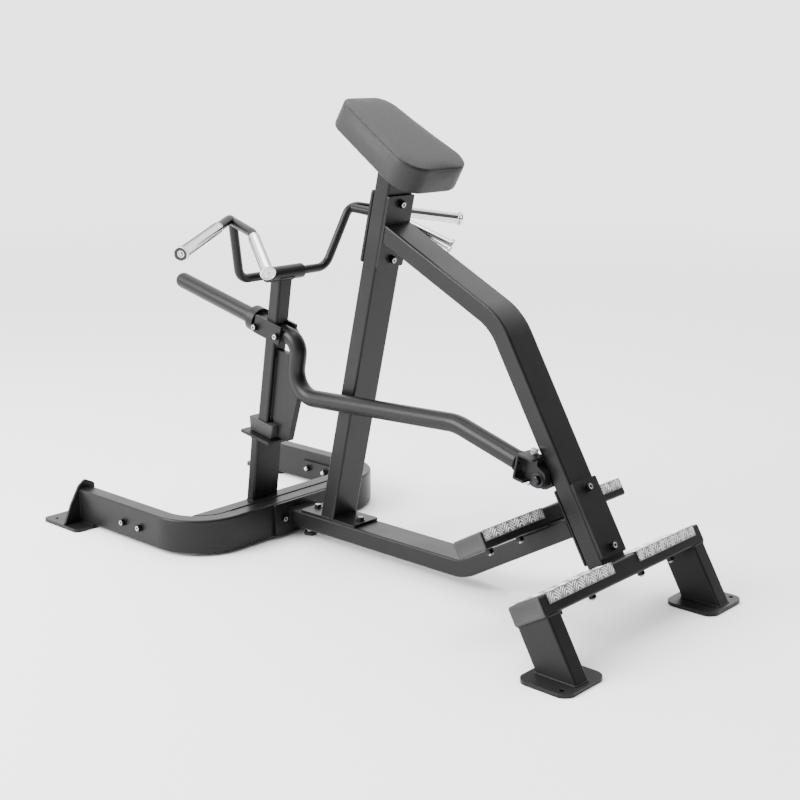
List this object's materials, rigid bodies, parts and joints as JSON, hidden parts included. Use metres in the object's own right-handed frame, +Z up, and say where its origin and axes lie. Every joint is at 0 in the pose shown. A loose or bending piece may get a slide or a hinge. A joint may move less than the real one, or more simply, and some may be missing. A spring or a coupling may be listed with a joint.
{
  "type": "incline lever row machine",
  "caption": "Chest-supported incline lever row: bent tube frame, tilted chest pad, foot bars with treads, and a hinged lever with weight horn and multi-grip handlebar.",
  "frame": {"origin": "centre of the footprint of the overall box, on the floor", "axes": "+X towards the foot end, +Y across (the lever lies on the -Y side of the frame), +Z up"},
  "size_m": [1.926, 1.089, 1.2901],
  "materials": {
    "black_powder_coat": "satin powder coat",
    "chrome_grip": "knurled and polished",
    "end_cap_chrome": "polished",
    "zinc_bolt": "zinc plated",
    "black_bolt": "black oxide",
    "tread_aluminium": "embossed five-bar sheet",
    "pad_vinyl": "matt black upholstery vinyl",
    "pad_board": "black laminated plywood",
    "bumper_rubber": "matt",
    "foot_rubber": "matt",
    "cap_plastic": "matt",
    "bush_bronze": "machined"
  },
  "bodies": {
    "frame": {"arm_bolts": "black_bolt", "arm_doublers": "black_powder_coat", "arm_end_plate_left": "black_powder_coat", "arm_end_plate_right": "black_powder_coat", "backing_plates": "black_powder_coat", "clamp_bolts": "black_bolt", "flange_screws": "black_bolt", "floor_tube": "black_powder_coat", "foot_bar_caps": "cap_plastic", "front_base_tube": "black_powder_coat", "front_crossbeam": "black_powder_coat", "front_flange": "black_powder_coat", "front_foot_plate_left": "black_powder_coat", "front_foot_plate_right": "black_powder_coat", "hinge_lugs": "black_powder_coat", "levelling_foot": "foot_rubber", "lower_foot_bar": "black_powder_coat", "lower_tread_left": "tread_aluminium", "lower_tread_right": "tread_aluminium", "main_post": "black_powder_coat", "pad_board": "pad_board", "pad_cushion": "pad_vinyl", "pad_mount_plate": "black_powder_coat", "pad_screws": "black_bolt", "pivot_bolt": "black_bolt", "pivot_spacer": "zinc_bolt", "post_base_flange": "black_powder_coat", "rear_foot_plate_left": "black_powder_coat", "rear_foot_plate_right": "black_powder_coat", "rear_leg_left": "black_powder_coat", "rear_leg_right": "black_powder_coat", "riser_flange": "black_powder_coat", "spine_flange": "black_powder_coat", "spine_tube": "black_powder_coat", "stop_plate": "black_powder_coat", "stop_post": "black_powder_coat", "tread_bolts": "black_bolt", "upper_foot_bar": "black_powder_coat", "upper_tread_left": "tread_aluminium", "upper_tread_right": "tread_aluminium"},
    "lever": {"lever_tube": "black_powder_coat", "lever_stem": "black_powder_coat", "lever_side_plate_left": "black_powder_coat", "lever_side_plate_right": "black_powder_coat", "side_plate_bolts": "black_bolt", "bumper": "bumper_rubber", "lever_brace": "black_powder_coat", "weight_horn": "black_powder_coat", "horn_collar": "black_powder_coat", "outer_grip_left": "chrome_grip", "inner_grip_left": "chrome_grip", "outer_grip_right": "chrome_grip", "inner_grip_right": "chrome_grip", "handlebar": "black_powder_coat", "grip_end_caps": "end_cap_chrome", "handle_sleeve": "black_powder_coat", "lever_channel": "black_powder_coat", "pivot_block": "black_powder_coat", "channel_bolt": "zinc_bolt", "pivot_bush": "bush_bronze"}
  },
  "joints": [
    {"name": "lever_pivot", "type": "hinge", "parent": "frame", "child": "lever", "pos_m": [0.631, 0.009, 0.371], "axis": [0, 1, 0], "range_deg": [0, 20]}
  ]
}
